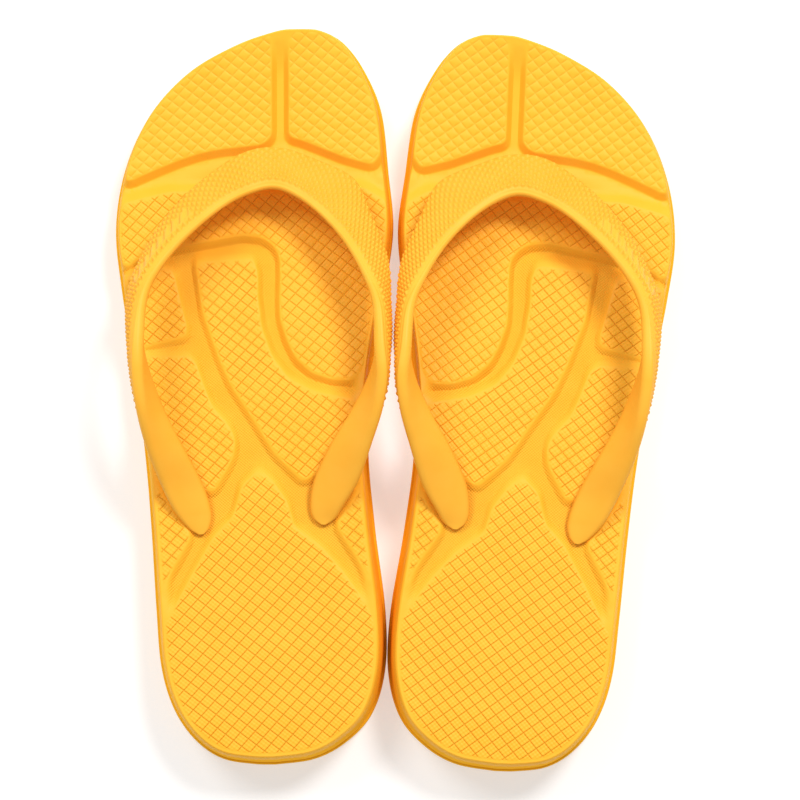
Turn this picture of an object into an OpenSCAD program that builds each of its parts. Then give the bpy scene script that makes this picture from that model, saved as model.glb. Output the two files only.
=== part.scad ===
// A pair of moulded flip flops: two thick foam soles, each with a V-shaped strap
// that is held under the sole by three retaining discs.
// The left shoe is drawn in its own frame: X to the inner side of the foot, Y from the
// back of the heel to the toes, Z up from the ground. The right shoe is its mirror image.

/* [Sole] */
// Length of one sole from heel to toe
sole_len = 275; // [255:1:295]
// Greatest width of one sole, across the ball of the foot
sole_width = 104; // [98:1:110]
// Thickness of the outsole layer
outsole_t = 5; // [4:0.5:7]
// Depth of the hollow that the heel and the ball of the foot rest in
dish_depth = 1.6; // [0:0.2:3]
// How much the wall leans in between the ground and the rim
wall_lean = 3.2; // [2:0.2:4.5]

/* [Tread] */
// Depth of the chevron grooves under the sole
tread_depth = 1.6; // [0.8:0.2:2.4]
// Width of each groove
tread_w = 3; // [2:0.5:4]

/* [Strap fixing] */
// Diameter of the strap's three stems
stem_d = 7; // [5:0.5:9]
// Diameter of the head at the lower end of each stem
head_d = 9.5; // [9:0.5:12]
// Diameter of a retaining disc
disc_d = 16; // [14:0.5:18]
// Thickness of a retaining disc
disc_t = 2.6; // [2:0.2:3]
// Gap between a stem and the bore in the footbed
bore_gap = 0.1; // [0.05:0.05:0.3]
// Gap round a disc in its pocket in the outsole
pocket_gap = 0.5; // [0.3:0.1:1]

/* [Pair] */
// Turn of the right shoe, toes outwards
right_turn = 2.3; // [0:0.1:5]
// Distance between the two shoes' own Y axes, at the heels
pair_pitch = 97.2; // [97.2:0.1:120]
// How far the right shoe lies behind the left one
right_back = 2.7; // [0:0.1:10]

/* [Hidden] */

foam_colour = "#FFC73A";
outsole_colour = "#FFCC4A";
strap_colour = "#FFB92E";
disc_colour = "#F4AE2A";

// Rows of the sole from heel to toe, for a sole of 275 by 104:
// [outer x, outer y, inner x, inner y, rim height, ground clearance]
sole_rows = [
    [2, 0, 8, 0, 29, 1.5],
    [-11, 2, 22.5, 2, 29, 1],
    [-21.2, 8.5, 34, 8, 29, 0],
    [-29.5, 20, 43.8, 18.5, 29, 0],
    [-34.5, 36, 48.8, 35, 28.5, 0],
    [-36.5, 58, 48.9, 57, 27.5, 0],
    [-38.5, 88, 45, 88, 25.5, 0],
    [-41, 116, 42.5, 118, 23.5, 0],
    [-45.5, 150, 44.5, 148, 21.5, 0],
    [-50, 177, 49, 178, 20, 0],
    [-52.3, 200, 51.8, 200, 19.5, 0],
    [-49, 222, 50, 221, 19.5, 0],
    [-39.9, 242.3, 47.3, 244, 20.5, 1.2],
    [-25.3, 258, 40.5, 260, 22.5, 3.4],
    [-7.4, 268.2, 32.8, 269.7, 24.5, 5.6],
    [8, 273.4, 25, 273.6, 26, 7.3],
    [15, 274.2, 19.5, 274.2, 26.5, 7.8]];

// Rows of the strap from the outer anchor round the toe post to the inner anchor:
// [lower edge x, y, z, upper edge x, y, z, thickness]
strap_rows = [
    [-17.7, 84.9, 24.6, -19.7, 84.7, 24.6, 2.2],
    [-15.6, 87.4, 24.8, -23.3, 86.8, 25.4, 2.8],
    [-14.9, 93, 25.5, -28.2, 92.5, 28, 3.4],
    [-17.8, 102.5, 28, -33.3, 103, 33.5, 3.6],
    [-24, 115, 34, -38, 116.5, 43, 4.2],
    [-32.5, 130.5, 39, -39.8, 129, 51.5, 5],
    [-38.3, 144, 42, -40.5, 143, 56, 5.6],
    [-42, 157, 42, -39.8, 155.5, 55.5, 5.6],
    [-43, 173, 38, -37.8, 170.5, 51.5, 5],
    [-37.8, 188.5, 33, -32.5, 181.5, 46.5, 4.4],
    [-30.3, 202.3, 30, -23, 192.9, 42, 4.2],
    [-18.5, 215, 27.5, -10.5, 203.8, 38, 4.2],
    [-3.5, 225.3, 25.5, -0.5, 209.2, 36, 4.6],
    [9.5, 227.2, 25, 8.3, 211, 35, 5],
    [22.5, 223.1, 25.5, 16.7, 207.6, 36.5, 4.6],
    [37.3, 215.4, 27, 25.6, 200.4, 39.5, 4.2],
    [44, 200.2, 31, 34, 190.3, 43.5, 4.2],
    [49, 184.5, 34, 41, 178, 48.5, 4.4],
    [48.6, 169.5, 39, 45.4, 167, 53, 4.8],
    [47.9, 154, 42.5, 46.6, 152.5, 56, 5.4],
    [44, 142, 41.5, 48, 141, 55.5, 5.2],
    [37.8, 131, 38.5, 47, 129.5, 51, 4.8],
    [29.2, 118, 34, 43.8, 117.5, 43.5, 4.2],
    [22.8, 105, 28.8, 39.4, 104.5, 34.8, 3.6],
    [21.2, 95.5, 26, 33.6, 95, 28.6, 3.4],
    [22.3, 90.8, 25, 30.6, 90.6, 25.6, 2.8],
    [25.2, 88.4, 24.7, 27.2, 88.4, 24.7, 2.2]];

// Centres of the three stems: toe, outer side, inner side
toe_hole = [9.2, 221.5];
outer_hole = [-21, 93.5];
inner_hole = [27.5, 96.5];
// Heights at which each stem leaves the strap
toe_stem_top = 29.5;
side_stem_top = 26.8;
// Points drawn between two rows of the sole and of the strap
sole_steps = 3;
strap_steps = 3;
round_fn = 48;

sx = sole_width / 104;
sy = sole_len / 275;
half_w = sole_width / 2;
// Footbed wall from the outsole up: [inset of the outline, share of the wall's height]
wall = [[0.9, 0], [1.5, 0.3], [0.8 * wall_lean, 0.72], [wall_lean, 0.9], [wall_lean + 1.2, 1]];
head_z = 1;
disc_z = outsole_t - disc_t;

// Catmull-Rom point between b and c
function blend(a, b, c, d, t) =
    0.5 * (2 * b + (c - a) * t + (2 * a - 5 * b + 4 * c - d) * t * t
           + (3 * b - a - 3 * c + d) * t * t * t);
// Smooth rows through the given rows, with n steps from one to the next
function smooth(rows, n) = let (last = len(rows) - 1) concat(
    [for (i = [0:last - 1]) for (k = [0:n - 1])
        blend(rows[max(i - 1, 0)], rows[i], rows[i + 1], rows[min(i + 2, last)], k / n)],
    [rows[last]]);
// Share of the way along the sole's length, and a rounded hump of width w centred on c
function hump(y, c, w) = let (d = abs(y - c) / w) d < 1 ? pow(cos(90 * d), 2) : 0;

soles = [for (r = smooth(sole_rows, sole_steps))
    [r[0] * sx, r[1] * sy, r[2] * sx, r[3] * sy, r[4], max(0, r[5])]];
straps = [for (r = smooth(strap_rows, strap_steps))
    [r[0] * sx, r[1] * sy, r[2], r[3] * sx, r[4] * sy, r[5], r[6]]];

// Plan position at side s (-1 outer edge, 1 inner edge) of a sole row, inset from the outline
function plan(r, s, inset) =
    let (x = (r[0] + r[2]) / 2 + (r[2] - r[0]) / 2 * s * (1 - inset / half_w),
         y = (r[1] + r[3]) / 2 + (r[3] - r[1]) / 2 * s)
    [x, sole_len / 2 + (y - sole_len / 2) * (1 - 2 * inset / sole_len)];
function sole_point(r, s, inset, z) = let (p = plan(r, s, inset)) [p[0], p[1], z];
// Height of the footbed's top: a hollow across the foot and a raised arch on the inner side
function bed_z(r, s) =
    let (y = (r[1] + r[3]) / 2 / sy,
         hollow = dish_depth * (hump(y, 55, 55) + hump(y, 205, 60)) * (1 - s * s),
         arch = 2.5 * hump(y, 128, 55) * max(s, 0))
    r[4] - hollow + arch;

function footbed_ring(r) =
    let (base = r[5] + outsole_t, side_z = function (s, share) base + (bed_z(r, s) - base) * share)
    concat(
        [for (s = [-1, -0.4, 0.4]) sole_point(r, s, wall[0][0], base)],
        [for (w = wall) sole_point(r, 1, w[0], side_z(1, w[1]))],
        [for (s = [0.8:-0.32:-0.8]) sole_point(r, s, wall_lean + 1.2, bed_z(r, s))],
        [for (k = [len(wall) - 1:-1:1]) sole_point(r, -1, wall[k][0], side_z(-1, wall[k][1]))]);
function outsole_ring(r) =
    concat(
        [for (s = [-1, -0.4, 0.4, 1]) sole_point(r, s, 1.6, r[5])],
        [sole_point(r, 1, 0.3, r[5] + 1.6), sole_point(r, 1, 0, r[5] + 0.7 * outsole_t)],
        [for (s = [1, 0.4, -0.4, -1]) sole_point(r, s, 0.5, r[5] + outsole_t)],
        [sole_point(r, -1, 0, r[5] + 0.7 * outsole_t), sole_point(r, -1, 0.3, r[5] + 1.6)]);

function unit(v) = v / norm(v);
function edge_a(r) = [r[0], r[1], r[2]];
function edge_b(r) = [r[3], r[4], r[5]];
function middle(r) = (edge_a(r) + edge_b(r)) / 2;
function signed_pow(v, p) = sign(v) * pow(abs(v), p);
// Rounded strap section: fuller on the outer face than on the face against the foot
function strap_ring(i) =
    let (r = straps[i], last = len(straps) - 1,
         along = unit(middle(straps[min(i + 1, last)]) - middle(straps[max(i - 1, 0)])),
         half = (edge_b(r) - edge_a(r)) / 2, out = unit(cross(half, along)))
    [for (a = [330:-30:0])
        middle(r) - half * signed_pow(cos(a), 0.7)
        + out * r[6] * (sin(a) > 0 ? 0.6 : 0.4) * signed_pow(sin(a), 0.6)];

function mean(points) = points * 0 == [] ? [0, 0, 0]
    : [for (k = [0:2]) sum([for (p = points) p[k]]) / len(points)];
function sum(v, i = 0) = i < len(v) ? v[i] + sum(v, i + 1) : 0;

// Closed skin over a list of rings that have the same number of points
module skin(rings) {
    n = len(rings[0]);
    m = len(rings);
    points = concat([for (ring = rings) each ring], [mean(rings[0]), mean(rings[m - 1])]);
    sides = [for (i = [0:m - 2]) for (j = [0:n - 1])
        let (a = i * n + j, b = i * n + (j + 1) % n) each [[a, b, b + n], [a, b + n, a + n]]];
    caps = [for (j = [0:n - 1]) let (k = (j + 1) % n)
        each [[m * n, k, j], [m * n + 1, (m - 1) * n + j, (m - 1) * n + k]]];
    polyhedron(points = points, faces = concat(sides, caps), convexity = 6);
}

holes = [for (h = [toe_hole, outer_hole, inner_hole]) [h[0] * sx, h[1] * sy]];

module at_hole(k) translate([holes[k][0], holes[k][1], 0]) children();

module tread_grooves() {
    for (y = [24:14:80]) groove(y);
    for (y = [116:14:200]) groove(y);
}
// Chevron across the sole at one place along it
module groove(y) {
    r = nearest_row(y * sy);
    c = (r[0] + r[2]) / 2;
    reach = (r[2] - r[0]) / 2 - 10;
    rise = 7;
    translate([c, y * sy, -1])
    linear_extrude(tread_depth + 1)
    polygon([[-reach, -rise], [0, 0], [reach, -rise],
             [reach, tread_w - rise], [0, tread_w], [-reach, tread_w - rise]]);
}
function nearest_row(y, i = 0) = soles[i][1] >= y || i == len(soles) - 1 ? soles[i]
    : nearest_row(y, i + 1);

module footbed() color(foam_colour) difference() {
    skin([for (r = soles) footbed_ring(r)]);
    for (k = [0:2]) at_hole(k) cylinder(h = 60, d = stem_d + 2 * bore_gap, $fn = round_fn);
}
module outsole() color(outsole_colour) difference() {
    skin([for (r = soles) outsole_ring(r)]);
    for (k = [0:2]) at_hole(k) translate([0, 0, -1])
        cylinder(h = outsole_t + 3, d = disc_d + 2 * pocket_gap, $fn = round_fn);
    tread_grooves();
}
module strap() color(strap_colour) union() {
    skin([for (i = [0:len(straps) - 1]) strap_ring(i)]);
    for (k = [0:2]) at_hole(k) {
        translate([0, 0, head_z])
            cylinder(h = (k == 0 ? toe_stem_top : side_stem_top) - head_z, d = stem_d,
                     $fn = round_fn);
        translate([0, 0, head_z]) cylinder(h = disc_z - head_z, d = head_d, $fn = round_fn);
    }
}
module disc(k) color(disc_colour) at_hole(k) translate([0, 0, disc_z]) difference() {
    cylinder(h = disc_t, d = disc_d, $fn = round_fn);
    translate([0, 0, -1]) cylinder(h = disc_t + 2, d = stem_d, $fn = round_fn);
}

// The pair is centred on the middle of its own plan
function spin(p, a) = [p[0] * cos(a) - p[1] * sin(a), p[0] * sin(a) + p[1] * cos(a)];
left_plan = [for (r = soles) each [plan(r, -1, 0), plan(r, 1, 0)]];
right_plan = [for (p = left_plan) spin([-p[0], p[1]], -right_turn) + [pair_pitch, -right_back]];
pair_x = [for (p = concat(left_plan, right_plan)) p[0]];
pair_y = [for (p = concat(left_plan, right_plan)) p[1]];
centre = [(min(pair_x) + max(pair_x)) / 2, (min(pair_y) + max(pair_y)) / 2, 0];

module left() translate(-centre) children();
module right() translate([pair_pitch, -right_back, 0] - centre) rotate(-right_turn)
    mirror([1, 0, 0]) children();

module left_footbed() left() footbed();
module left_outsole() left() outsole();
module left_strap() left() strap();
module left_toe_disc() left() disc(0);
module left_outer_disc() left() disc(1);
module left_inner_disc() left() disc(2);
module right_footbed() right() footbed();
module right_outsole() right() outsole();
module right_strap() right() strap();
module right_toe_disc() right() disc(0);
module right_outer_disc() right() disc(1);
module right_inner_disc() right() disc(2);

left_footbed();
left_outsole();
left_strap();
left_toe_disc();
left_outer_disc();
left_inner_disc();
right_footbed();
right_outsole();
right_strap();
right_toe_disc();
right_outer_disc();
right_inner_disc();
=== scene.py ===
import math

import bpy
import numpy as np
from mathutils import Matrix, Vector, geometry


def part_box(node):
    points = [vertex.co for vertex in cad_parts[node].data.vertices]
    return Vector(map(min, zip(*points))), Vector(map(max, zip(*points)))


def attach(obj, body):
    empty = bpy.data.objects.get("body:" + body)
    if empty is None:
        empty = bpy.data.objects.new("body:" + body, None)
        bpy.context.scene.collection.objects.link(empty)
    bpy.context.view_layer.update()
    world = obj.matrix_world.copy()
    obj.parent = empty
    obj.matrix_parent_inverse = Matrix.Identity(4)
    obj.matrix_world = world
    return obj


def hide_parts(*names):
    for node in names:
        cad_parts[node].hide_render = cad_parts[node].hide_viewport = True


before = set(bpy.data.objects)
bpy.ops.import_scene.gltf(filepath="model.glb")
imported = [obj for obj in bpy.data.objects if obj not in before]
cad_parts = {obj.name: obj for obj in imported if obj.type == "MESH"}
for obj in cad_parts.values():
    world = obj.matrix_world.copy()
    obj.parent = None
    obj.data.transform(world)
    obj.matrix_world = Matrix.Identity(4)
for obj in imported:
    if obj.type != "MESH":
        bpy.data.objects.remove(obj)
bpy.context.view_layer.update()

MM = 0.001

# ---------------------------------------------------------------- shared dimensions
OUTSOLE_T = 5.0
DISH_DEPTH = 1.6
ARCH_RISE = 2.5
TOE_HOLE = (9.2, 221.5)
OUTER_HOLE = (-21.0, 93.5)
INNER_HOLE = (27.5, 96.5)
STEM_R = 3.5
STEM_MIDDLE = 18.0
HEAD_R = 4.75
HEAD_Z = 1.0
DISC_Z = 2.4
POCKET_R = 8.5

# Sole from heel to toe: outer x, outer y, inner x, inner y, rim height, ground clearance
SOLE_ROWS = [
    [2, 0, 8, 0, 29, 1.5],
    [-11, 2, 22.5, 2, 29, 1],
    [-21.2, 8.5, 34, 8, 29, 0],
    [-29.5, 20, 43.8, 18.5, 29, 0],
    [-34.5, 36, 48.8, 35, 28.5, 0],
    [-36.5, 58, 48.9, 57, 27.5, 0],
    [-38.5, 88, 45, 88, 25.5, 0],
    [-41, 116, 42.5, 118, 23.5, 0],
    [-45.5, 150, 44.5, 148, 21.5, 0],
    [-50, 177, 49, 178, 20, 0],
    [-52.3, 200, 51.8, 200, 19.5, 0],
    [-49, 222, 50, 221, 19.5, 0],
    [-39.9, 242.3, 47.3, 244, 20.5, 1.2],
    [-25.3, 258, 40.5, 260, 22.5, 3.4],
    [-7.4, 268.2, 32.8, 269.7, 24.5, 5.6],
    [8, 273.4, 25, 273.6, 26, 7.3],
    [15, 274.2, 19.5, 274.2, 26.5, 7.8],
]

# Strap from the outer anchor round the toe stem to the inner anchor:
# lower edge x, y, z, upper edge x, y, z, thickness
STRAP_ROWS = [
    [-17.7, 84.9, 24.6, -19.7, 84.7, 24.6, 2.2],
    [-15.6, 87.4, 24.8, -23.3, 86.8, 25.4, 2.8],
    [-14.9, 93, 25.5, -28.2, 92.5, 28, 3.4],
    [-17.8, 102.5, 28, -33.3, 103, 33.5, 3.6],
    [-24, 115, 34, -38, 116.5, 43, 4.2],
    [-32.5, 130.5, 39, -39.8, 129, 51.5, 5],
    [-38.3, 144, 42, -40.5, 143, 56, 5.6],
    [-42, 157, 42, -39.8, 155.5, 55.5, 5.6],
    [-43, 173, 38, -37.8, 170.5, 51.5, 5],
    [-37.8, 188.5, 33, -32.5, 181.5, 46.5, 4.4],
    [-30.3, 202.3, 30, -23, 192.9, 42, 4.2],
    [-18.5, 215, 27.5, -10.5, 203.8, 38, 4.2],
    [-3.5, 225.3, 25.5, -0.5, 209.2, 36, 4.6],
    [9.5, 227.2, 25, 8.3, 211, 35, 5],
    [22.5, 223.1, 25.5, 16.7, 207.6, 36.5, 4.6],
    [37.3, 215.4, 27, 25.6, 200.4, 39.5, 4.2],
    [44, 200.2, 31, 34, 190.3, 43.5, 4.2],
    [49, 184.5, 34, 41, 178, 48.5, 4.4],
    [48.6, 169.5, 39, 45.4, 167, 53, 4.8],
    [47.9, 154, 42.5, 46.6, 152.5, 56, 5.4],
    [44, 142, 41.5, 48, 141, 55.5, 5.2],
    [37.8, 131, 38.5, 47, 129.5, 51, 4.8],
    [29.2, 118, 34, 43.8, 117.5, 43.5, 4.2],
    [22.8, 105, 28.8, 39.4, 104.5, 34.8, 3.6],
    [21.2, 95.5, 26, 33.6, 95, 28.6, 3.4],
    [22.3, 90.8, 25, 30.6, 90.6, 25.6, 2.8],
    [25.2, 88.4, 24.7, 27.2, 88.4, 24.7, 2.2],
]

# ---------------------------------------------------------------- relief on the footbed
TEXTURE_INSET = (4.4, 2.8)  # textured pads end this far inside the outline, at heel and toes
PAD_CORNER = 2.2         # corner radius of a pad
WALL_W = 3.1             # plan width of a channel's steep wall where it faces the heel
SIDE_W = 2.0             # and where it faces a side
RAMP_W = 5.2             # plan width of its gentle wall, on the side nearer the heel
WALL_ROUND = 0.12        # share of a wall taken by the rounding at its lip and at its foot
CHANNEL_DEPTH = 2.0
EXTRA_DEPTH = 0.8        # more beside the toe and ball pads
DEEP_PADS = ("toe_outer", "toe_inner", "ball")
GROOVE_HALF = 0.23       # half width of an engraved line
GROOVE_DEPTH = 0.3
FINE_PITCH = 1.22        # faint lines between the engraved ones
HATCH_PITCH = 0.8        # fine hatch on the channels' floors
GROOVE_ANGLES = (48.5, -36.8)

# Pads: corner points, with a stretch of rim given by its two ends, how much the cells are
# puffed up, the distance between engraved lines, and how wide and soft those are
PADS = {
    "toe_outer": ([(-45.8, 216.5), (-35, 221.3), (-27.6, 224.3), (-20.2, 226.8), (-12.8, 228.3),
                   (3, 230), (6.5, 233), (6.5, 268), ((6.5, 271), (-47, 217.5))], 0.28, 3.5, 1.0),
    "toe_inner": ([(13, 268), (13, 233), (18.5, 231.5), (33.5, 225.5), (44, 222.5), (46.5, 226),
                   ((47, 228), (13, 271))], 0.28, 3.5, 1.0),
    "ball": ([(-47, 208), (-31, 212), (12, 212), (41, 213.5), (47, 209.5),
              ((50, 208), (45, 160)), (43, 161), (41, 147), (38, 142), (30, 142), (22, 144.5),
              (16, 150), (12.5, 157), (10, 165), (9.7, 172.5), (10, 180), (9.8, 188),
              (7.5, 192.5), (3, 195.5), (-4.5, 196.3), (-28.5, 191.7), (-40.5, 188.6),
              (-46.5, 184.5), ((-49, 184), (-50, 207))], 0.2, 3.46, 0.35),
    "centre": ([(39.5, 116), (18.5, 104.5), (15.5, 107.5), (8, 115), (0.5, 127), (-8, 140),
                (-12.5, 150), (-17, 162.5), (-18.5, 166.5), (-21.5, 185.5), (-0.5, 187),
                (1.5, 182), (1.5, 172.5), (3, 161), (7, 150), (13, 142), (23, 137), (38, 134),
                ((42, 131.5), (42, 117))], 0.14, 3.45, 0.15),
    "outer_front": ([(-46, 180.5), (-32, 183.5), (-29.5, 181), (-27, 170.5), (-24.5, 161),
                     (-25.5, 158), (-41, 154), ((-46, 153), (-50, 180))], 0.14, 3.5, 0.1),
    "outer_mid": ([(-41.5, 150.5), (-24, 150.5), (-21, 147.5), (-18.5, 140), (-15, 131.5),
                   (-8.5, 124), (-6.5, 119.5), (-7, 114), (-10, 108), (-14.5, 100.5),
                   (-36, 106.5), ((-40, 107), (-45, 150))], 0.14, 3.5, 0.1),
    "outer_rear": ([(-35.5, 103), (-22.5, 84), (-32.8, 65), ((-37, 66), (-39, 102))],
                   0.1, 3.65, 0.0),
    "inner_rear": ([(43.5, 68.5), (31, 88), (39.5, 101), ((43, 100), (46, 69.5))],
                   0.1, 3.65, 0.0),
    "heel": ([(42.5, 58), (33.5, 70.5), (26, 79), (15.5, 87), (13, 96), (7, 104.5), (2, 108),
              (-4, 102), (-7, 91), (-14.5, 83), (-22, 69.5), (-30.5, 53.5),
              ((-36, 52), (48, 56))], 0.12, 3.68, 0.0),
}
# Places where a channel runs out through the rim: x, y, radius
DIVIDER_END = (10, 271)   # the channel between the toes runs out gently here
DIVIDER_FADE = 16         # over this length
EXIT_REACH = 1.6          # an exit fades out at this many radii
CHANNEL_EXITS = [(-49, 212, 7), (50, 218, 8), (-50.5, 183, 4.5), (-46, 152, 4)]


# ---------------------------------------------------------------- curves
def smooth_rows(rows, steps):
    """Catmull-Rom rows through the given rows."""
    rows = np.array(rows, float)
    last = len(rows) - 1
    out = []
    for i in range(last):
        a, b = rows[max(i - 1, 0)], rows[i]
        c, d = rows[i + 1], rows[min(i + 2, last)]
        for k in range(steps):
            t = k / steps
            out.append(0.5 * (2 * b + (c - a) * t + (2 * a - 5 * b + 4 * c - d) * t * t
                              + (3 * b - a - 3 * c + d) * t ** 3))
    out.append(rows[last])
    return np.array(out)


def resample_closed(points, count):
    """Evenly spaced points along a closed outline."""
    ring = np.vstack([points, points[:1]])
    along = np.concatenate([[0], np.cumsum(np.linalg.norm(np.diff(ring, axis=0), axis=1))])
    at = np.linspace(0, along[-1], count, endpoint=False)
    return np.column_stack([np.interp(at, along, ring[:, k]) for k in range(ring.shape[1])])


def outward(points):
    """Unit outward normals of a counter-clockwise closed outline."""
    tangent = np.roll(points, -1, axis=0) - np.roll(points, 1, axis=0)
    tangent /= np.linalg.norm(tangent, axis=1)[:, None]
    return np.column_stack([tangent[:, 1], -tangent[:, 0]])


def rounded(points, radius, steps=4):
    """A closed polygon with each corner replaced by a short curve."""
    points = np.array(points, float)
    out = []
    for i in range(len(points)):
        p, before, after = points[i], points[i - 1], points[(i + 1) % len(points)]
        reach_a = min(radius, 0.45 * np.linalg.norm(before - p))
        reach_b = min(radius, 0.45 * np.linalg.norm(after - p))
        a = p + (before - p) / np.linalg.norm(before - p) * reach_a
        b = p + (after - p) / np.linalg.norm(after - p) * reach_b
        for k in range(steps + 1):
            t = k / steps
            out.append(a * (1 - t) ** 2 + p * 2 * t * (1 - t) + b * t * t)
    return np.array(out)


def divided(points, longest):
    """The same polygon with points added so that no edge is longer than a length."""
    out = []
    for a, b in zip(points, np.roll(points, -1, axis=0)):
        parts = max(1, math.ceil(np.linalg.norm(b - a) / longest))
        out += [a + (b - a) * k / parts for k in range(parts)]
    return np.array(out)


def smoothstep(t):
    t = np.clip(t, 0, 1)
    return t * t * (3 - 2 * t)


def fall(t):
    """A straight slope from 0 to 1 with a small rounding at both ends."""
    t = np.clip(t, 0, 1)
    slope = 1 / (1 - WALL_ROUND)
    lip = slope * t * t / (2 * WALL_ROUND)
    foot = 1 - slope * (1 - t) ** 2 / (2 * WALL_ROUND)
    return np.where(t < WALL_ROUND, lip, np.where(t > 1 - WALL_ROUND, foot,
                                                  slope * (t - WALL_ROUND / 2)))


def hump(y, centre, width):
    d = np.abs(y - centre) / width
    return np.where(d < 1, np.cos(d * math.pi / 2) ** 2, 0)


def inside(points, polygon):
    """Which points lie inside a closed polygon."""
    x, y = points[:, 0], points[:, 1]
    hit = np.zeros(len(points), bool)
    for a, b in zip(polygon, np.roll(polygon, -1, axis=0)):
        crosses = (a[1] > y) != (b[1] > y)
        if a[1] != b[1]:
            hit ^= crosses & (x < a[0] + (y - a[1]) * (b[0] - a[0]) / (b[1] - a[1]))
    return hit


def distance(points, polygon):
    """Signed distance to a closed polygon, negative inside, and the way from its nearest point."""
    best = np.full(len(points), 1e9)
    way = np.zeros((len(points), 2))
    for a, b in zip(polygon, np.roll(polygon, -1, axis=0)):
        ab = b - a
        length2 = max(float(ab @ ab), 1e-9)
        t = np.clip(((points - a) @ ab) / length2, 0, 1)
        off = points - (a + t[:, None] * ab)
        d = np.linalg.norm(off, axis=1)
        closer = d < best
        best[closer] = d[closer]
        way[closer] = off[closer] / np.maximum(d[closer], 1e-9)[:, None]
    return np.where(inside(points, polygon), -best, best), way


# ---------------------------------------------------------------- sole outline and heights
sole = smooth_rows(SOLE_ROWS, 10)
sole[:, 5] = np.maximum(sole[:, 5], 0)
outline = resample_closed(np.vstack([sole[:, 2:4], sole[::-1, 0:2]]), 300)
outline_out = outward(outline)


def inset_outline(inset):
    return outline - outline_out * np.broadcast_to(inset, len(outline))[:, None]


def texture_inset(y):
    return np.interp(y, (60, 180), TEXTURE_INSET)


def wall_inset(inset):
    """The wall leans in most at the heel."""
    return WALL[0][0] + (inset - WALL[0][0]) * np.interp(outline[:, 1], (60, 180), (1.0, 0.6))


def row_value(y, column):
    return np.interp(y, (sole[:, 1] + sole[:, 3]) / 2, sole[:, column])


def side_of(x, y):
    """Place across the foot, -1 at the outer edge and 1 at the inner edge."""
    left, right = np.interp(y, sole[:, 1], sole[:, 0]), np.interp(y, sole[:, 3], sole[:, 2])
    return np.clip((2 * x - left - right) / np.maximum(right - left, 1), -1, 1)


def bed_height(x, y):
    s = side_of(x, y)
    hollow = DISH_DEPTH * (hump(y, 55, 55) + hump(y, 205, 60)) * (1 - s * s)
    arch = ARCH_RISE * hump(y, 128, 55) * np.maximum(s, 0)
    return row_value(y, 4) - hollow + arch


def rim_stretch(start, end):
    """Points of the textured area's rim between the places nearest to two points."""
    ring = inset_outline(texture_inset(outline[:, 1]))
    i = int(np.argmin(np.linalg.norm(ring - np.array(start), axis=1)))
    j = int(np.argmin(np.linalg.norm(ring - np.array(end), axis=1)))
    n = len(ring)
    forward = (j - i) % n
    step = 1 if forward <= n - forward else -1
    count = min(forward, n - forward)
    return [ring[(i + step * k) % n] for k in range(0, count + 1, 2)]


def counter_clockwise(points):
    x, y = points[:, 0], points[:, 1]
    area = np.sum(x * np.roll(y, -1) - y * np.roll(x, -1))
    return points if area > 0 else points[::-1]


def pad_outline(corners):
    points = []
    for corner in corners:
        if isinstance(corner[0], tuple):
            points += rim_stretch(*corner)
        else:
            points.append(np.array(corner, float))
    return counter_clockwise(divided(rounded(points, PAD_CORNER), 2.0))


pads = [(pad_outline(corners), puff, pitch, soft) for corners, puff, pitch, soft in PADS.values()]


def channel_depth(points):
    near = np.full(len(points), 1e9)
    for name in DEEP_PADS:
        near = np.minimum(near, distance(points, pads[list(PADS).index(name)][0])[0])
    return CHANNEL_DEPTH + EXTRA_DEPTH * smoothstep((7.5 - near) / 4.5)


def exit_mask(points):
    mask = np.zeros(len(points))
    for x, y, r in CHANNEL_EXITS:
        away = np.hypot(points[:, 0] - x, points[:, 1] - y)
        mask = np.maximum(mask, smoothstep(EXIT_REACH - away / r))
    return mask


def channel_share(points):
    """How far down into a channel each plan point is, 0 on the pads and the rim to 1."""
    share = np.ones(len(points))
    for polygon, *_ in pads:
        d, way = distance(points, polygon)
        width = (SIDE_W + (WALL_W - SIDE_W) * np.clip(-way[:, 1], 0, 1)
                 + (RAMP_W - SIDE_W) * np.clip(way[:, 1], 0, 1) ** 2)
        share = np.minimum(share, fall(d / width))
    edge = -distance(points, outline)[0]
    from_rim = smoothstep((edge - texture_inset(points[:, 1]) - 0.6) / 4)
    from_end = np.hypot(points[:, 0] - DIVIDER_END[0], points[:, 1] - DIVIDER_END[1])
    top_end = smoothstep(from_end / DIVIDER_FADE)
    return share * top_end * np.maximum(from_rim, exit_mask(points))


def pad_relief(points):
    """Engraved lines and puffed cells inside the pads: height, and two masks for the shader:
    where a pad is lined, and where a line is cut and gets painted shade."""
    rise = np.zeros(len(points))
    lined = np.zeros(len(points))
    groove = np.zeros(len(points))
    for polygon, puff, pitch, soft in pads:
        away = []
        for angle in GROOVE_ANGLES:
            a = math.radians(angle)
            place = (points[:, 0] * -math.sin(a) + points[:, 1] * math.cos(a)) / pitch
            away.append(np.abs(place - np.round(place)) * pitch)
        nearest = np.minimum(*away)
        cut = np.clip(1 - nearest / GROOVE_HALF, 0, 1)
        line = cut * (1 - 0.75 * soft)
        cell = np.sin(np.clip(away[0] / pitch, 0, 0.5) * math.pi)
        cell = (cell * np.sin(np.clip(away[1] / pitch, 0, 0.5) * math.pi)) ** (0.45 + 0.3 * soft)
        fade = smoothstep(-distance(points, polygon)[0] / 0.8)
        rise += fade * (puff * cell - GROOVE_DEPTH * line)
        lined = np.maximum(lined, fade * (1 - soft))
        # mask for painted shade: a darker colour in the cut lines standing in for their shade
        groove = np.maximum(groove, fade * cut * (1 - soft / 2))
    return rise, lined, groove


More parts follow.
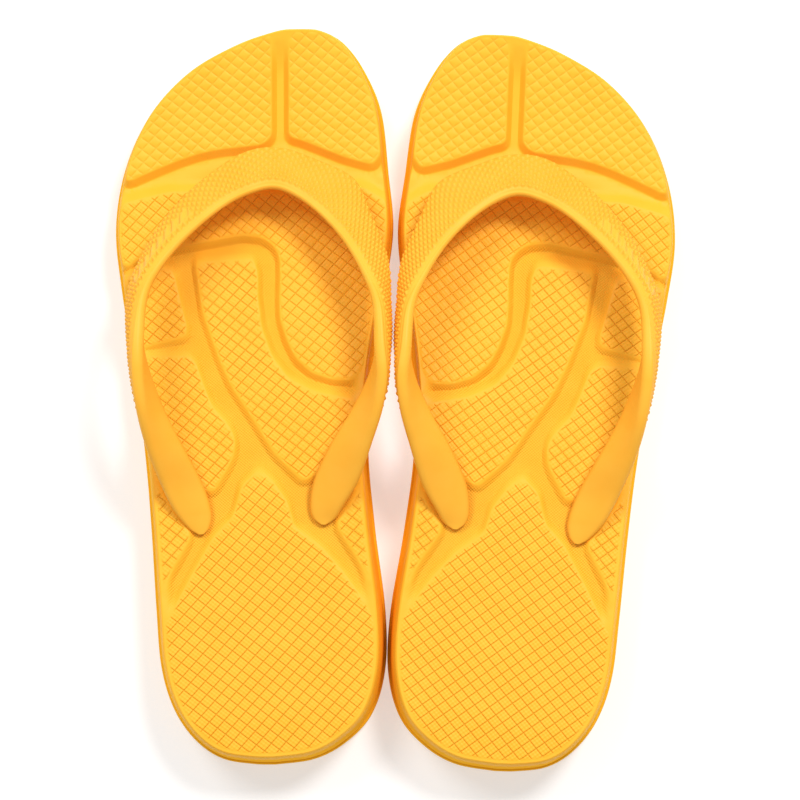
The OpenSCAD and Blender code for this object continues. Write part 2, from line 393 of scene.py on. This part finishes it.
# ---------------------------------------------------------------- mesh helpers
def clipped_lines(polygon, angle, pitch, offsets):
    """Pieces of parallel lines a pitch apart inside a polygon; offsets are in pitches."""
    a = math.radians(angle)
    along, across = np.array([math.cos(a), math.sin(a)]), np.array([-math.sin(a), math.cos(a)])
    height = polygon @ across / pitch
    pieces = []
    for k in range(int(math.floor(height.min())) - 1, int(math.ceil(height.max())) + 1):
        for offset in offsets:
            level = k + offset
            start, end = height, np.roll(height, -1)
            cross = (start > level) != (end > level)
            if not cross.any():
                continue
            t = (level - start[cross]) / (end[cross] - start[cross])
            edge = np.roll(polygon, -1, axis=0)[cross] - polygon[cross]
            hits = polygon[cross] + t[:, None] * edge
            hits = hits[np.argsort(hits @ along)]
            for p, q in zip(hits[0::2], hits[1::2]):
                if np.linalg.norm(q - p) > 0.3:
                    pieces.append((p, q))
    return pieces


def kept_edges(loop, boundary):
    """The edges of a loop that lie well inside a boundary."""
    fits = distance(loop, boundary)[0] < -0.06
    return [(loop[i - 1], loop[i]) for i in range(len(loop)) if fits[i - 1] and fits[i]]


def triangulated(boundary, loops, lines, extra):
    """Plane triangles inside boundary that keep every loop and line as edges."""
    points = [tuple(p) for p in boundary]
    edges = [(i, (i + 1) % len(boundary)) for i in range(len(boundary))]
    for loop in loops:
        start = len(points)
        points += [tuple(p) for p in loop]
        edges += [(start + i, start + (i + 1) % len(loop)) for i in range(len(loop))]
    for p, q in lines:
        edges.append((len(points), len(points) + 1))
        points += [tuple(p), tuple(q)]
    points += [tuple(p) for p in extra]
    verts, _, faces, origin, _, _ = geometry.delaunay_2d_cdt(
        [Vector(p) for p in points], edges, [], 0, 1e-4)
    flat = np.array([(v.x, v.y) for v in verts])
    faces = np.array([tuple(f) for f in faces])
    centres = flat[faces].mean(axis=1)
    faces = faces[inside(centres, np.array(boundary))]
    place = {}
    for index, sources in enumerate(origin):
        for s in sources:
            if s < len(boundary):
                place[s] = index
    ring = [place[i] for i in range(len(boundary))]
    used = sorted(set(faces.ravel()) | set(ring))
    renumber = {old: new for new, old in enumerate(used)}
    faces = [[renumber[i] for i in f] for f in faces]
    return flat[used], faces, [renumber[i] for i in ring]


def grid_points(polygon, spacing, margin):
    """Staggered points inside a polygon, away from its edge."""
    low, high = polygon.min(axis=0), polygon.max(axis=0)
    out = []
    rows = np.arange(low[1], high[1], spacing * 0.866)
    for k, y in enumerate(rows):
        for x in np.arange(low[0] + (k % 2) * spacing / 2, high[0], spacing):
            out.append((x, y))
    out = np.array(out)
    return out[distance(out, polygon)[0] < -margin]


def ring_faces(lower, upper):
    """Quads between two rings of indices, facing outwards when both run counter-clockwise."""
    n = len(lower)
    return [[lower[i], lower[(i + 1) % n], upper[(i + 1) % n], upper[i]] for i in range(n)]


class Shape:
    """Vertices and faces in the left shoe's frame, with named values on the vertices."""

    def __init__(self):
        self.verts = np.zeros((0, 3))
        self.faces = []
        self.values = {}

    def add(self, points, faces=(), **values):
        start = len(self.verts)
        points = np.asarray(points, float)
        self.verts = np.vstack([self.verts, points])
        self.faces += [[start + i for i in f] for f in faces]
        for name in set(self.values) | set(values):
            old = self.values.get(name, np.zeros(start))
            new = np.broadcast_to(np.asarray(values.get(name, 0.0), float), (len(points),))
            self.values[name] = np.concatenate([old, new])
        return list(range(start, start + len(points)))


def axes_of(side):
    """Turn and place of a shoe, read off its three retaining discs."""
    centres = {}
    for which in ("toe", "outer", "inner"):
        low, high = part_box(f"{side}_{which}_disc")
        centres[which] = np.array([(low.x + high.x) / 2, (low.y + high.y) / 2]) / MM
    flip = -1.0 if side == "right" else 1.0
    local = np.array([flip * (INNER_HOLE[0] - OUTER_HOLE[0]), INNER_HOLE[1] - OUTER_HOLE[1]])
    seen = centres["inner"] - centres["outer"]
    turn = math.atan2(seen[1], seen[0]) - math.atan2(local[1], local[0])
    c, s = math.cos(turn), math.sin(turn)
    spin = np.array([[c, -s], [s, c]])
    return flip, spin, centres["toe"] - spin @ np.array([flip * TOE_HOLE[0], TOE_HOLE[1]])


def build(name, shape, side, body, material, replaces, sharp=None):
    """Make a Blender object of a shape on one of the two shoes."""
    flip, spin, place = axes_of(side)
    plan = shape.verts[:, :2] * (flip, 1.0) @ spin.T + place
    points = np.column_stack([plan, shape.verts[:, 2]]) * MM
    faces = [f[::-1] for f in shape.faces] if flip < 0 else shape.faces
    mesh = bpy.data.meshes.new(name)
    mesh.from_pydata(points.tolist(), [], faces)
    local = mesh.attributes.new("shoe_place", "FLOAT_VECTOR", "POINT")
    local.data.foreach_set("vector", (shape.verts * MM).astype(np.float32).ravel())
    for key, values in shape.values.items():
        attribute = mesh.attributes.new(key, "FLOAT", "POINT")
        attribute.data.foreach_set("value", values.astype(np.float32))
    mesh.validate()
    mesh.shade_smooth()
    if sharp:
        mesh.set_sharp_from_angle(angle=math.radians(sharp))
    piece = bpy.data.objects.new(name, mesh)
    bpy.context.scene.collection.objects.link(piece)
    mesh.materials.append(material)
    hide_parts(replaces)
    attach(piece, body)
    return piece


# ---------------------------------------------------------------- footbed
LINING = 0.4             # the engraved lines stop this far inside a pad
STEPS_ROUND_PAD = (-LINING, 0, 0.3, 0.6, 1.3, 2.0, 2.4, 2.8, 3.1)
STEPS_ACROSS_CELL = (0.2, 0.35, 0.5, 0.65, 0.8)
COARSE_STEP = 2.4        # distance between loose points on the smooth stretches
HATCH_END = 208          # the fine hatch fades out here, towards the toes
FLAT_STEP = 12           # distance between points on the hidden flat faces

# Wall profile from the outsole up: inset of the outline, share of the wall's height
WALL = [(0.9, 0.0), (1.1, 0.2), (1.4, 0.42), (1.75, 0.62), (2.1, 0.78), (2.45, 0.88), (2.8, 0.945),
        (3.2, 0.985), (3.7, 1.0)]


def footbed_shape():
    shape = Shape()
    rim = inset_outline(wall_inset(WALL[-1][0]))
    lines = []
    for polygon, _, pitch, _ in pads:
        normals = outward(polygon)
        for d in STEPS_ROUND_PAD:
            lines += kept_edges(polygon + normals * d, rim)
        inner = polygon - normals * LINING
        edge = GROOVE_HALF / pitch
        for angle in GROOVE_ANGLES:
            lines += clipped_lines(inner, angle, pitch, (-edge, 0, edge, *STEPS_ACROSS_CELL))
    scattered = grid_points(rim, COARSE_STEP, 1.0)
    clear = np.ones(len(scattered), bool)
    for polygon, *_ in pads:
        clear &= distance(scattered, polygon)[0] > 0.2
    flat, faces, ring = triangulated(rim, [], lines, scattered[clear])
    share = channel_share(flat)
    rise, lined, groove = pad_relief(flat)
    hatched = np.clip(share * 1.6, 0, 1) * smoothstep((HATCH_END - flat[:, 1]) / 8)
    z = bed_height(flat[:, 0], flat[:, 1]) - channel_depth(flat) * share + rise
    # the shaded mask places painted shade in the engraved lines
    shape.add(np.column_stack([flat, z]), faces, lined=lined, hatched=hatched, shaded=groove,
              glossy=1.0)
    upper = ring
    for inset, part in WALL[-2::-1]:
        loop = inset_outline(wall_inset(inset))
        base = row_value(loop[:, 1], 5) + OUTSOLE_T
        drop = channel_depth(loop) * channel_share(loop) * smoothstep((part - 0.5) * 2)
        z = base + (bed_height(loop[:, 0], loop[:, 1]) - base) * part - drop
        lower = shape.add(np.column_stack([loop, z]), glossy=smoothstep((part - 0.85) / 0.15))
        shape.faces += ring_faces(lower, upper)
        upper = lower
    flat, faces, ring = triangulated(inset_outline(WALL[0][0]), [], [],
                                     grid_points(outline, FLAT_STEP, 4))
    base = row_value(flat[:, 1], 5) + OUTSOLE_T
    start = len(shape.verts)
    shape.add(np.column_stack([flat, base]))
    weld = {start + r: u for r, u in zip(ring, upper)}
    for f in faces:
        shape.faces.append([weld.get(start + i, start + i) for i in f[::-1]])
    return shape


# ---------------------------------------------------------------- outsole
TREAD_W = 3.0
TREAD_DEPTH = 1.6
TREAD_RISE = 7.0         # how far a groove's middle stands ahead of its ends
TREAD_MARGIN = 10        # and how far its ends stay from the sole's edge
TREAD_BEVEL = 0.35
TREAD_ROWS = (*range(24, 81, 14), *range(116, 201, 14))
BOTTOM_INSET = 1.6       # the bottom face ends this far inside the outline
# Edge profile above it: inset of the outline, height
EDGE_PROFILE = [(1.0, 0.35), (0.5, 1.1), (0.12, 2.2), (0.0, 3.3), (0.1, 4.3), (0.45, OUTSOLE_T)]


def tread_outline(y):
    left, right = np.interp(y, sole[:, 1], sole[:, 0]), np.interp(y, sole[:, 3], sole[:, 2])
    middle, reach = (left + right) / 2, (right - left) / 2 - TREAD_MARGIN
    return counter_clockwise(rounded([
        (middle - reach, y - TREAD_RISE), (middle, y), (middle + reach, y - TREAD_RISE),
        (middle + reach, y + TREAD_W - TREAD_RISE), (middle, y + TREAD_W),
        (middle - reach, y + TREAD_W - TREAD_RISE)], 1.2))


def circle(centre, radius, count=40):
    a = np.linspace(0, 2 * math.pi, count, endpoint=False)
    return np.column_stack([centre[0] + radius * np.cos(a), centre[1] + radius * np.sin(a)])


def outsole_shape():
    shape = Shape()
    treads = [tread_outline(y) for y in TREAD_ROWS]
    holes = [circle(h, POCKET_R) for h in (TOE_HOLE, OUTER_HOLE, INNER_HOLE)]
    bottom = inset_outline(BOTTOM_INSET)
    floors = [t - outward(t) * TREAD_BEVEL for t in treads]
    flat, faces, ring = triangulated(bottom, treads + floors + holes, [],
                                     grid_points(bottom, 7, 2))
    centres = flat[np.array(faces)].mean(axis=1)
    in_hole = np.zeros(len(faces), bool)
    for hole in holes:
        in_hole |= inside(centres, hole)
    z = row_value(flat[:, 1], 5)
    sunk = np.zeros(len(flat))
    for tread in treads:
        sunk = np.maximum(sunk, np.clip(-distance(flat, tread)[0] / TREAD_BEVEL, 0, 1))
    kept = [f[::-1] for f, gone in zip(faces, in_hole) if not gone]
    used = sorted({i for f in kept for i in f} | set(ring))
    renumber = {old: new for new, old in enumerate(used)}
    shape.add(np.column_stack([flat, z + TREAD_DEPTH * sunk])[used],
              [[renumber[i] for i in f] for f in kept])
    lower = [renumber[i] for i in ring]
    for inset, height in EDGE_PROFILE:
        loop = inset_outline(inset)
        upper = shape.add(np.column_stack([loop, row_value(loop[:, 1], 5) + height]))
        shape.faces += ring_faces(lower, upper)
        lower = upper
    top = inset_outline(EDGE_PROFILE[-1][0])
    flat, faces, ring = triangulated(top, holes, [], grid_points(top, FLAT_STEP, 4))
    centres = flat[np.array(faces)].mean(axis=1)
    in_hole = np.zeros(len(faces), bool)
    for hole in holes:
        in_hole |= inside(centres, hole)
    start = len(shape.verts)
    shape.add(np.column_stack([flat, row_value(flat[:, 1], 5) + OUTSOLE_T]))
    weld = {start + r: u for r, u in zip(ring, lower)}
    for f, gone in zip(faces, in_hole):
        if not gone:
            shape.faces.append([weld.get(start + i, start + i) for i in f])
    for hole in holes:
        rows = []
        for z in (0.0, OUTSOLE_T):
            want = np.column_stack([hole, row_value(hole[:, 1], 5) + z])
            rows.append([int(np.argmin(np.linalg.norm(shape.verts - p, axis=1))) for p in want])
        shape.faces += ring_faces(rows[1], rows[0])
    return shape


# ---------------------------------------------------------------- strap
SCALE_L = 2.9            # length of one scale along the strap
SCALE_W = 1.6            # distance between two rows of scales
SCALE_RISE = 0.85
RIM_W = 2.2              # smooth rear rim
LINE_IN = 1.1            # with one thin line along it
LINE_DEPTH = 0.22
MARK_W = 5.6             # strip of plain raised bars near the rim, in place of any lettering
MARK_GAP = 1.9
BAR_PITCH = 4.2
MARK_RISE = 0.6
MARK_FROM = 99.0         # its two ends along the strap
MARK_TO = 134.0
PLAIN_END = 26           # length of a smooth tongue before the scales start
# Stems: place, height, how far the stem widens under the strap
STEMS = [(TOE_HOLE, 29.0, 1.3), (OUTER_HOLE, 26.6, 0.8), (INNER_HOLE, 26.6, 0.8)]
STATIONS = 1080
OUTER_COLUMNS = 54
INNER_COLUMNS = 14


def strap_frames():
    """Evenly spaced sections: middle, half width, outward way, thickness, run along the strap."""
    rows = smooth_rows(STRAP_ROWS, 24)
    middle = (rows[:, 0:3] + rows[:, 3:6]) / 2
    run = np.concatenate([[0], np.cumsum(np.linalg.norm(np.diff(middle, axis=0), axis=1))])
    at = np.linspace(0, run[-1], STATIONS)
    rows = np.column_stack([np.interp(at, run, rows[:, k]) for k in range(7)])
    middle = (rows[:, 0:3] + rows[:, 3:6]) / 2
    half = (rows[:, 3:6] - rows[:, 0:3]) / 2
    along = np.gradient(middle, axis=0)
    out = np.cross(half, along)
    out /= np.linalg.norm(out, axis=1)[:, None]
    return middle, half, out, rows[:, 6], at


def scale_height(run, across):
    """Small overlapping lozenge scales."""
    row = np.round(across / SCALE_W)
    best = np.zeros_like(across)
    for r in (row - 1, row, row + 1):
        shifted = run / SCALE_L - 0.5 * (np.mod(r, 2))
        along = np.abs(shifted - np.round(shifted)) * SCALE_L
        lozenge = 1 - along / (SCALE_L / 2) - np.abs(across - r * SCALE_W) / SCALE_W
        best = np.maximum(best, np.clip(lozenge, 0, 1))
    return np.clip(best * 1.3, 0, 1)


def strap_shape():
    shape = Shape()
    middle, half, out, thick, run = strap_frames()
    width = np.linalg.norm(half, axis=1)
    outer = np.linspace(-1, 1, OUTER_COLUMNS)
    outer = np.sign(outer) * np.abs(outer) ** 0.93
    inner = np.linspace(1, -1, INNER_COLUMNS)[1:-1]
    place = np.concatenate([outer, inner])
    face = np.concatenate([np.ones(len(outer)), -np.ones(len(inner))])
    profile = (1 - np.abs(place) ** (2 / 0.7)) ** 0.3
    profile[[0, len(outer) - 1]] = 0
    lift = np.where(face > 0, 0.6, -0.4) * profile
    points = (middle[:, None, :] + half[:, None, :] * place[None, :, None]
              + out[:, None, :] * (thick[:, None] * lift[None, :])[:, :, None])
    across = width[:, None] * place[None, :]
    runs = np.broadcast_to(run[:, None], across.shape)
    from_rim = width[:, None] - across
    from_front = width[:, None] + across
    textured = smoothstep((from_rim - RIM_W) / 0.5) * smoothstep((from_front - 0.7) / 0.8)
    total = run[-1]
    textured = (textured * smoothstep((runs - PLAIN_END) / 6)
                * smoothstep((total - PLAIN_END - runs) / 6))
    start = RIM_W + MARK_GAP
    on_mark = (smoothstep((runs - MARK_FROM) / 0.8) * smoothstep((MARK_TO - runs) / 0.8)
               * smoothstep((from_rim - start) / 0.5)
               * smoothstep((start + MARK_W - from_rim) / 0.5))
    bars = smoothstep((np.abs(np.mod((runs - 0.5 * from_rim) / BAR_PITCH, 1) - 0.5) - 0.2) * 8)
    edging = smoothstep((0.9 - np.abs(from_rim - start - 0.6)) / 0.4)
    bump = (textured * (1 - on_mark) * scale_height(runs, across) * SCALE_RISE
            + on_mark * MARK_RISE * np.maximum(bars, edging))
    bump = bump - LINE_DEPTH * smoothstep(1.6 - np.abs(from_rim - LINE_IN) / 0.3)
    bump = np.where(face[None, :] > 0, bump, 0) * (profile[None, :] > 0.05)
    points = points + out[:, None, :] * bump[:, :, None]
    count = len(place)
    flat = points.reshape(-1, 3)
    # painted shade in the gaps between the scales: a darker colour standing in for their shade
    scale_gap_shade = textured * (1 - on_mark) * (1 - scale_height(runs, across))
    ids = shape.add(flat, shaded=np.where(face[None, :] > 0, scale_gap_shade, 0).reshape(-1))
    for i in range(STATIONS - 1):
        a, b = i * count, (i + 1) * count
        for j in range(count):
            k = (j + 1) % count
            shape.faces.append([ids[a + j], ids[a + k], ids[b + k], ids[b + j]])
    for station, turned in ((0, True), (STATIONS - 1, False)):
        ring = ids[station * count:(station + 1) * count]
        tip = shape.add([flat[ring].mean(axis=0)])[0]
        for j in range(count):
            pair = [ring[j], ring[(j + 1) % count]]
            shape.faces.append([tip] + (pair[::-1] if turned else pair))
    for hole, top, flare in STEMS:
        add_stem(shape, hole, top, flare)
    return shape


def add_stem(shape, centre, top, flare):
    """A round stem with its retaining head below and a flare under the strap."""
    profile = [(0.6, HEAD_Z), (HEAD_R - 0.6, HEAD_Z), (HEAD_R - 0.15, HEAD_Z + 0.2),
               (HEAD_R, HEAD_Z + 0.6), (HEAD_R, DISC_Z - 0.3), (HEAD_R - 0.3, DISC_Z),
               (STEM_R, DISC_Z), (STEM_R, STEM_MIDDLE), (STEM_R, top - 6),
               (STEM_R + 0.3 * flare, top - 4), (STEM_R + flare, top - 2), (1.0, top)]
    rings = []
    for radius, z in profile:
        ring = circle(centre, radius, 40)
        rings.append(shape.add(np.column_stack([ring, np.full(len(ring), z)])))
    for lower, upper in zip(rings, rings[1:]):
        shape.faces += ring_faces(lower, upper)
    shape.faces.append(rings[0][::-1])
    shape.faces.append(rings[-1])


# ---------------------------------------------------------------- materials
FOAM_GLOSS = 0.26        # specular level of the footbed's top; its side wall is dull
PAINTED_SHADE_SHARE = 0.42         # how far a cut line or a gap between scales takes on its painted shade colour


def material(name, colour, shade, rough, cut=None, specular=0.16):
    """A moulded plastic with a faint mottle in colour and gloss, and painted shade in its cut
    lines and other recesses; returns it and its nodes."""
    made = bpy.data.materials.new(name)
    made.use_nodes = True
    nodes, links = made.node_tree.nodes, made.node_tree.links
    shader = nodes["Principled BSDF"]
    shader.inputs["IOR"].default_value = 1.46
    shader.inputs["Specular IOR Level"].default_value = specular
    place = nodes.new("ShaderNodeAttribute")
    place.attribute_name = "shoe_place"
    mottle = nodes.new("ShaderNodeTexNoise")
    mottle.inputs["Scale"].default_value = 90
    mottle.inputs["Detail"].default_value = 4
    links.new(place.outputs["Vector"], mottle.inputs["Vector"])
    ramp = nodes.new("ShaderNodeValToRGB")
    ramp.color_ramp.elements[0].position = 0.3
    ramp.color_ramp.elements[0].color = (*shade, 1)
    ramp.color_ramp.elements[1].position = 0.7
    ramp.color_ramp.elements[1].color = (*colour, 1)
    links.new(mottle.outputs["Fac"], ramp.inputs["Fac"])
    colours = ramp.outputs["Color"]
    # painted shade: the darker cut colour is mixed in wherever the shaded mask is set
    if cut:
        mask = nodes.new("ShaderNodeAttribute")
        mask.attribute_name = "shaded"
        amount = nodes.new("ShaderNodeMath")
        amount.operation = "MULTIPLY"
        amount.inputs[1].default_value = PAINTED_SHADE_SHARE
        links.new(mask.outputs["Fac"], amount.inputs[0])
        mix = nodes.new("ShaderNodeMixRGB")
        mix.inputs["Color2"].default_value = (*cut, 1)
        links.new(amount.outputs[0], mix.inputs["Fac"])
        links.new(colours, mix.inputs["Color1"])
        colours = mix.outputs["Color"]
    links.new(colours, shader.inputs["Base Color"])
    gloss = nodes.new("ShaderNodeMapRange")
    gloss.inputs["To Min"].default_value = rough - 0.06
    gloss.inputs["To Max"].default_value = rough + 0.06
    links.new(mottle.outputs["Fac"], gloss.inputs["Value"])
    links.new(gloss.outputs["Result"], shader.inputs["Roughness"])
    return made, nodes, links, shader, place


def bump_chain(nodes, links, shader, layers):
    """Stack bump layers: each is a height socket, its strength and its height in metres."""
    normal = None
    for socket, strength, height in layers:
        bump = nodes.new("ShaderNodeBump")
        bump.inputs["Strength"].default_value = strength
        bump.inputs["Distance"].default_value = height
        links.new(socket, bump.inputs["Height"])
        if normal is not None:
            links.new(normal, bump.inputs["Normal"])
        normal = bump.outputs["Normal"]
    links.new(normal, shader.inputs["Normal"])


def grain(nodes, links, place, scale, detail=3):
    noise = nodes.new("ShaderNodeTexNoise")
    noise.inputs["Scale"].default_value = scale
    noise.inputs["Detail"].default_value = detail
    links.new(place.outputs["Vector"], noise.inputs["Vector"])
    return noise.outputs["Fac"]


def fine_lines(nodes, links, place, angle, pitch):
    """Sine ridges a pitch apart, in metres, running at an angle across the shoe."""
    turn = nodes.new("ShaderNodeMapping")
    turn.vector_type = "TEXTURE"
    turn.inputs["Rotation"].default_value = (0, 0, math.radians(angle))
    links.new(place.outputs["Vector"], turn.inputs["Vector"])
    wave = nodes.new("ShaderNodeTexWave")
    wave.bands_direction = "Y"
    wave.inputs["Scale"].default_value = 2 * math.pi / 20 / pitch
    links.new(turn.outputs["Vector"], wave.inputs["Vector"])
    return wave.outputs["Fac"]


def times(nodes, links, a, b):
    product = nodes.new("ShaderNodeMath")
    product.operation = "MULTIPLY"
    links.new(a, product.inputs[0])
    links.new(b, product.inputs[1])
    return product.outputs[0]


def plus(nodes, links, a, b):
    total = nodes.new("ShaderNodeMath")
    total.operation = "ADD"
    links.new(a, total.inputs[0])
    links.new(b, total.inputs[1])
    return total.outputs[0]


def masked(nodes, links, socket, name):
    mask = nodes.new("ShaderNodeAttribute")
    mask.attribute_name = name
    return times(nodes, links, socket, mask.outputs["Fac"])


def constant(nodes, number):
    value = nodes.new("ShaderNodeValue")
    value.outputs[0].default_value = number
    return value.outputs[0]


def foam_material():
    # the last colour is the painted shade of the engraved lines
    made, nodes, links, shader, place = material(
        "moulded_foam", (0.985, 0.495, 0.032), (0.975, 0.465, 0.024), 0.5, (0.50, 0.29, 0.04))
    links.new(masked(nodes, links, constant(nodes, FOAM_GLOSS), "glossy"),
              shader.inputs["Specular IOR Level"])
    hatch = plus(nodes, links, fine_lines(nodes, links, place, 45, HATCH_PITCH * MM),
                 fine_lines(nodes, links, place, -40, HATCH_PITCH * MM))
    cells = plus(nodes, links, fine_lines(nodes, links, place, GROOVE_ANGLES[0], FINE_PITCH * MM),
                 fine_lines(nodes, links, place, GROOVE_ANGLES[1], FINE_PITCH * MM))
    bump_chain(nodes, links, shader, [
        (grain(nodes, links, place, 1400), 0.5, 0.00006),
        (masked(nodes, links, hatch, "hatched"), 1.0, 0.00014),
        (masked(nodes, links, cells, "lined"), 0.7, 0.0001)])
    return made


def outsole_material():
    made, nodes, links, shader, place = material(
        "outsole_rubber", (0.985, 0.51, 0.020), (0.975, 0.48, 0.016), 0.55, specular=0.02)
    bump_chain(nodes, links, shader, [(grain(nodes, links, place, 1100), 0.5, 0.00008)])
    return made


def strap_material():
    # the last colour is the painted shade in the gaps between the scales
    made, nodes, links, shader, place = material(
        "strap_soft_plastic", (0.985, 0.485, 0.048), (0.975, 0.455, 0.038), 0.42,
        (0.80, 0.34, 0.010))
    bump_chain(nodes, links, shader, [(grain(nodes, links, place, 900, 5), 0.35, 0.00006)])
    return made


def disc_material():
    made, nodes, links, shader, _ = material(
        "disc_plastic", (0.85, 0.40, 0.022), (0.80, 0.36, 0.018), 0.45)
    coordinates = nodes.new("ShaderNodeTexCoord")
    noise = nodes.new("ShaderNodeTexNoise")
    noise.inputs["Scale"].default_value = 900
    links.new(coordinates.outputs["Object"], noise.inputs["Vector"])
    bump_chain(nodes, links, shader, [(noise.outputs["Fac"], 0.4, 0.00006)])
    return made


# ---------------------------------------------------------------- assembly
foam, rubber, soft, hard = foam_material(), outsole_material(), strap_material(), disc_material()
footbed, outsole, strap = footbed_shape(), outsole_shape(), strap_shape()
for side in ("left", "right"):
    body = f"{side}_shoe"
    build(f"{side}_footbed_relief", footbed, side, body, foam, f"{side}_footbed", 34)
    build(f"{side}_outsole_tread", outsole, side, body, rubber, f"{side}_outsole", 50)
    build(f"{side}_strap_scaled", strap, side, body, soft, f"{side}_strap")
    for which in ("toe", "outer", "inner"):
        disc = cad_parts[f"{side}_{which}_disc"]
        for slot in disc.material_slots:
            slot.material = hard

# ---------------------------------------------------------------- floor, light and camera
TARGET = (0.0017, 0.0002, 0.0)   # middle of the picture
FLOOR_SIZE = 4.0
FLOOR_GAP = 0.0002       # keeps the floor off the flat undersides
VIEW_DISTANCE = 1.4
VIEW_ELEVATION = math.radians(86)
FIELD_WIDTH = 0.300
SENSOR = 36.0
WORLD_STRENGTH = 0.46
# Soft lamps above the toes: place, size, power
LAMPS = {"key_left": ((-0.72, 0.85, 1.55), 0.7, 13),
         "key_right": ((0.62, 0.85, 1.65), 0.5, 24)}


def floor():
    bpy.ops.mesh.primitive_plane_add(size=FLOOR_SIZE, location=(0, 0, -FLOOR_GAP))
    plane = bpy.context.object
    plane.name = "floor"
    made = bpy.data.materials.new("floor_white")
    made.use_nodes = True
    nodes, links = made.node_tree.nodes, made.node_tree.links
    shader = nodes["Principled BSDF"]
    shader.inputs["Roughness"].default_value = 0.9
    shader.inputs["Specular IOR Level"].default_value = 0.1
    noise = nodes.new("ShaderNodeTexNoise")
    noise.inputs["Scale"].default_value = 3
    shader.inputs["Emission Color"].default_value = (1, 1, 1, 1)
    shader.inputs["Emission Strength"].default_value = 0.45
    ramp = nodes.new("ShaderNodeValToRGB")
    ramp.color_ramp.elements[0].color = (0.60, 0.60, 0.60, 1)
    ramp.color_ramp.elements[1].color = (0.64, 0.64, 0.64, 1)
    links.new(noise.outputs["Fac"], ramp.inputs["Fac"])
    links.new(ramp.outputs["Color"], shader.inputs["Base Color"])
    plane.data.materials.append(made)


def area_light(name, place, size, power):
    """A disc lamp aimed at the origin."""
    data = bpy.data.lights.new(name, "AREA")
    data.shape = "DISK"
    data.size = size
    data.energy = power
    lamp = bpy.data.objects.new(name, data)
    bpy.context.scene.collection.objects.link(lamp)
    lamp.location = place
    lamp.rotation_euler = (-Vector(place)).to_track_quat("-Z", "Y").to_euler()


def world_light(strength):
    world = bpy.data.worlds.new("studio")
    world.use_nodes = True
    background = world.node_tree.nodes["Background"]
    background.inputs["Color"].default_value = (1, 1, 1, 1)
    background.inputs["Strength"].default_value = strength
    bpy.context.scene.world = world


def camera():
    data = bpy.data.cameras.new("camera")
    data.sensor_width = SENSOR
    data.lens = SENSOR * VIEW_DISTANCE / FIELD_WIDTH
    data.clip_start, data.clip_end = 0.05, 20
    eye = bpy.data.objects.new("camera", data)
    bpy.context.scene.collection.objects.link(eye)
    target = Vector(TARGET)
    away = Vector((0, -math.cos(VIEW_ELEVATION), math.sin(VIEW_ELEVATION)))
    eye.location = target + away * VIEW_DISTANCE
    eye.rotation_euler = (-away).to_track_quat("-Z", "Y").to_euler()
    bpy.context.scene.camera = eye


floor()
world_light(WORLD_STRENGTH)
for lamp_name, (lamp_place, lamp_size, power) in LAMPS.items():
    area_light(lamp_name, lamp_place, lamp_size, power)
camera()
bpy.context.scene.view_settings.view_transform = "Standard"
